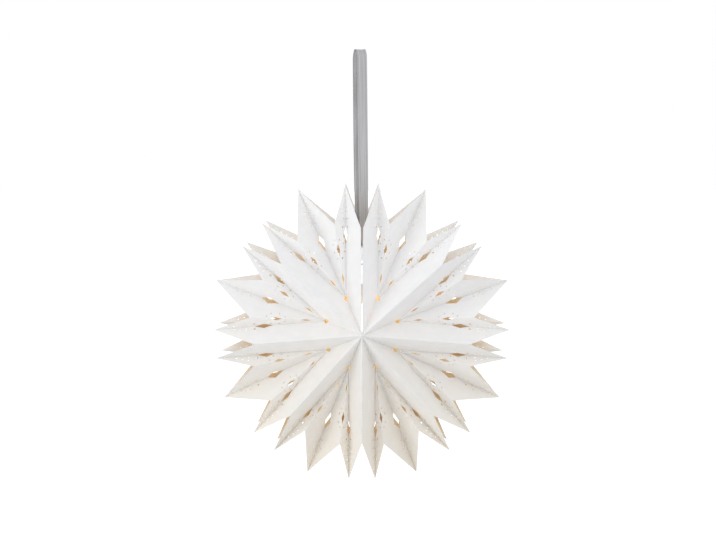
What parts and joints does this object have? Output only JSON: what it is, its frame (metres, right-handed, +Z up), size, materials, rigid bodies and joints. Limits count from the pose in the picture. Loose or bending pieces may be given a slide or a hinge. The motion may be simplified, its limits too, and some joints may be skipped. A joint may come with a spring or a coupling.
{
  "type": "paper star lantern",
  "caption": "Round pointed star of folded white paper bags with punched windows, hung by a grey ribbon loop, with a small warm battery light inside.",
  "frame": {"origin": "centre of the star, halfway between its front and rear centres", "axes": "-Y is the front that the picture shows, +Z is up towards the seam and the ribbon, +X is to the right"},
  "size_m": [0.4462, 0.208, 0.6483],
  "materials": {
    "white_paper": "matt",
    "lamp_shell": "matt",
    "lamp_light": "frosted",
    "ring_wire": "satin",
    "satin_ribbon": "satin"
  },
  "bodies": {
    "root": {"bag_1": "white_paper", "bag_2": "white_paper", "bag_3": "white_paper", "bag_4": "white_paper", "bag_5": "white_paper", "bag_6": "white_paper", "bag_7": "white_paper", "bag_8": "white_paper", "lamp_case": "lamp_shell", "lamp_globe": "lamp_light", "lamp_ring": "ring_wire", "ribbon": "satin_ribbon"}
  },
  "joints": []
}
